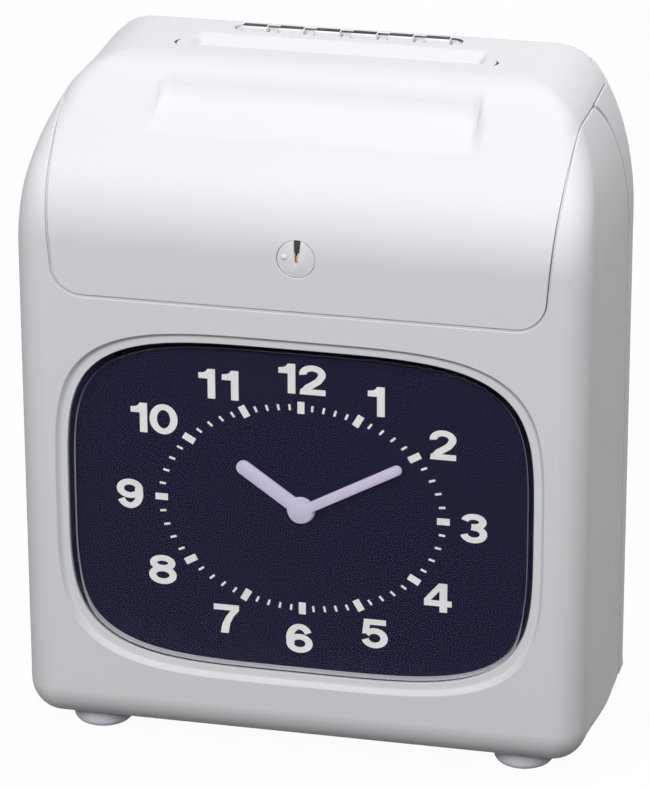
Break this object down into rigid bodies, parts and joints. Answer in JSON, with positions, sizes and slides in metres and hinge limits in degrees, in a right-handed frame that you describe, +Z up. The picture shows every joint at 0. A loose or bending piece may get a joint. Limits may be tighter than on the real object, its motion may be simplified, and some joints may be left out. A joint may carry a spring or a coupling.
{
  "type": "time clock",
  "caption": "Boxy time clock with a navy analogue dial, sloping lockable lid, top card slot with push buttons behind it, and a card printer inside.",
  "frame": {"origin": "on the floor under the middle of the case", "axes": "+Z up, +X to the right seen from the front, the dial faces -Y"},
  "size_m": [0.22, 0.1054, 0.269],
  "materials": {
    "case_plastic": "satin moulded plastic, fine grain",
    "foot_rubber": "pale rubber",
    "steel": "zinc plated",
    "clear": "clear moulded crystal",
    "dial_paint": "matt navy print",
    "print_white": "printed ink",
    "copper": "enamelled copper wire",
    "sheet_steel": "galvanised sheet",
    "inner_plastic": "plain moulded plastic",
    "black_rubber": "matt rubber",
    "black_paint": "satin black",
    "black_plastic": "matt black",
    "board_green": "solder mask",
    "battery_sleeve": "shrink sleeve",
    "zinc": "die cast",
    "lock_plastic": "satin moulded plastic",
    "brass": "machined",
    "hand_paint": "pale lavender paint",
    "white_nylon": "moulded nylon",
    "button_plastic": "satin white"
  },
  "bodies": {
    "case": {"front_case": "case_plastic", "rear_cover": "case_plastic", "feet": "foot_rubber", "foot_screws": "steel", "case_screws": "steel", "hinge_rod": "steel", "crystal": "clear", "dial": "dial_paint", "dial_marks": "print_white", "movement_front_plate": "steel", "movement_rear_plate": "steel", "motor_stator": "steel", "motor_coil": "copper", "chassis": "sheet_steel", "front_card_guide": "inner_plastic", "rear_card_guide": "inner_plastic", "platen": "black_rubber", "guide_shafts": "steel", "carriage_motor": "black_paint", "feed_motor": "black_paint", "card_sensor": "black_plastic", "main_board": "board_green", "board_components": "black_plastic", "board_screws": "steel", "transformer_core": "steel", "transformer_winding": "copper", "battery_pack": "battery_sleeve", "power_inlet": "black_plastic"},
    "lid": {"lid": "case_plastic", "slot_bezel": "case_plastic", "lock_body": "zinc", "switch_board": "board_green"},
    "lock": {"lock_face": "lock_plastic", "lock_core": "brass", "lock_cam": "steel"},
    "minute_works": {"minute_arbor": "brass", "minute_hand": "hand_paint", "hand_cap": "hand_paint"},
    "hour_works": {"hour_wheel": "brass", "hour_hand": "hand_paint"},
    "minute_wheel": {"minute_wheel": "brass"},
    "third_wheel": {"third_wheel": "brass"},
    "rotor": {"rotor": "black_plastic"},
    "carriage": {"carriage": "black_plastic", "print_head": "zinc", "ribbon_cassette": "black_plastic"},
    "drive_screw": {"drive_screw": "steel"},
    "feed_roller": {"feed_roller": "black_rubber", "feed_gear": "white_nylon"},
    "pinch_roller": {"pinch_roller": "black_rubber"},
    "feed_pinion": {"feed_pinion": "white_nylon"},
    "button_1": {"button_1": "button_plastic"},
    "button_2": {"button_2": "button_plastic"},
    "button_3": {"button_3": "button_plastic"},
    "button_4": {"button_4": "button_plastic"},
    "button_5": {"button_5": "button_plastic"},
    "button_6": {"button_6": "button_plastic"}
  },
  "joints": [
    {"name": "lid_hinge", "type": "hinge", "parent": "case", "child": "lid", "pos_m": [0, 0.0465, 0.261], "axis": [-1, 0, 0], "range_deg": [0, 75]},
    {"name": "lock_turn", "type": "hinge", "parent": "lid", "child": "lock", "pos_m": [0, -0.0525, 0.2085], "axis": [0, 1, 0], "range_deg": [0, 90]},
    {"name": "minute_spin", "type": "hinge", "parent": "case", "child": "minute_works", "pos_m": [0, -0.0445, 0.1044], "axis": [0, 1, 0], "continuous": true},
    {"name": "hour_spin", "type": "hinge", "parent": "case", "child": "hour_works", "pos_m": [0, -0.0445, 0.1044], "axis": [0, 1, 0], "continuous": true},
    {"name": "minute_wheel_spin", "type": "hinge", "parent": "case", "child": "minute_wheel", "pos_m": [-0.021, -0.04, 0.1044], "axis": [0, 1, 0], "continuous": true},
    {"name": "third_wheel_spin", "type": "hinge", "parent": "case", "child": "third_wheel", "pos_m": [0.0252, -0.04, 0.1044], "axis": [0, 1, 0], "continuous": true},
    {"name": "rotor_spin", "type": "hinge", "parent": "case", "child": "rotor", "pos_m": [0.0252, -0.04, 0.0864], "axis": [0, 1, 0], "continuous": true},
    {"name": "carriage_slide", "type": "slide", "parent": "case", "child": "carriage", "axis": [1, 0, 0], "range_m": [-0.03, 0.03]},
    {"name": "drive_screw_spin", "type": "hinge", "parent": "case", "child": "drive_screw", "pos_m": [0, -0.009, 0.206], "axis": [1, 0, 0], "range_deg": [-900, 900]},
    {"name": "feed_roller_spin", "type": "hinge", "parent": "case", "child": "feed_roller", "pos_m": [0, 0.02575, 0.14], "axis": [1, 0, 0], "continuous": true},
    {"name": "pinch_roller_spin", "type": "hinge", "parent": "case", "child": "pinch_roller", "pos_m": [0, 0.00925, 0.14], "axis": [1, 0, 0], "continuous": true},
    {"name": "feed_pinion_spin", "type": "hinge", "parent": "case", "child": "feed_pinion", "pos_m": [0, 0.02575, 0.1232], "axis": [1, 0, 0], "continuous": true},
    {"name": "button_1_press", "type": "slide", "parent": "lid", "child": "button_1", "axis": [0, 0, -1], "range_m": [0, 0.0015], "stiffness_N_per_m": 300},
    {"name": "button_2_press", "type": "slide", "parent": "lid", "child": "button_2", "axis": [0, 0, -1], "range_m": [0, 0.0015], "stiffness_N_per_m": 300},
    {"name": "button_3_press", "type": "slide", "parent": "lid", "child": "button_3", "axis": [0, 0, -1], "range_m": [0, 0.0015], "stiffness_N_per_m": 300},
    {"name": "button_4_press", "type": "slide", "parent": "lid", "child": "button_4", "axis": [0, 0, -1], "range_m": [0, 0.0015], "stiffness_N_per_m": 300},
    {"name": "button_5_press", "type": "slide", "parent": "lid", "child": "button_5", "axis": [0, 0, -1], "range_m": [0, 0.0015], "stiffness_N_per_m": 300},
    {"name": "button_6_press", "type": "slide", "parent": "lid", "child": "button_6", "axis": [0, 0, -1], "range_m": [0, 0.0015], "stiffness_N_per_m": 300}
  ],
  "couplings": [
    {"joint": "hour_spin", "follows": "minute_spin", "ratio": 0.083333},
    {"joint": "minute_wheel_spin", "follows": "minute_spin", "ratio": -0.33333},
    {"joint": "third_wheel_spin", "follows": "minute_spin", "ratio": -6},
    {"joint": "rotor_spin", "follows": "minute_spin", "ratio": 30},
    {"joint": "drive_screw_spin", "follows": "carriage_slide", "rad_per_m": 523.6},
    {"joint": "pinch_roller_spin", "follows": "feed_roller_spin", "ratio": -1},
    {"joint": "feed_pinion_spin", "follows": "feed_roller_spin", "ratio": -2.5}
  ]
}
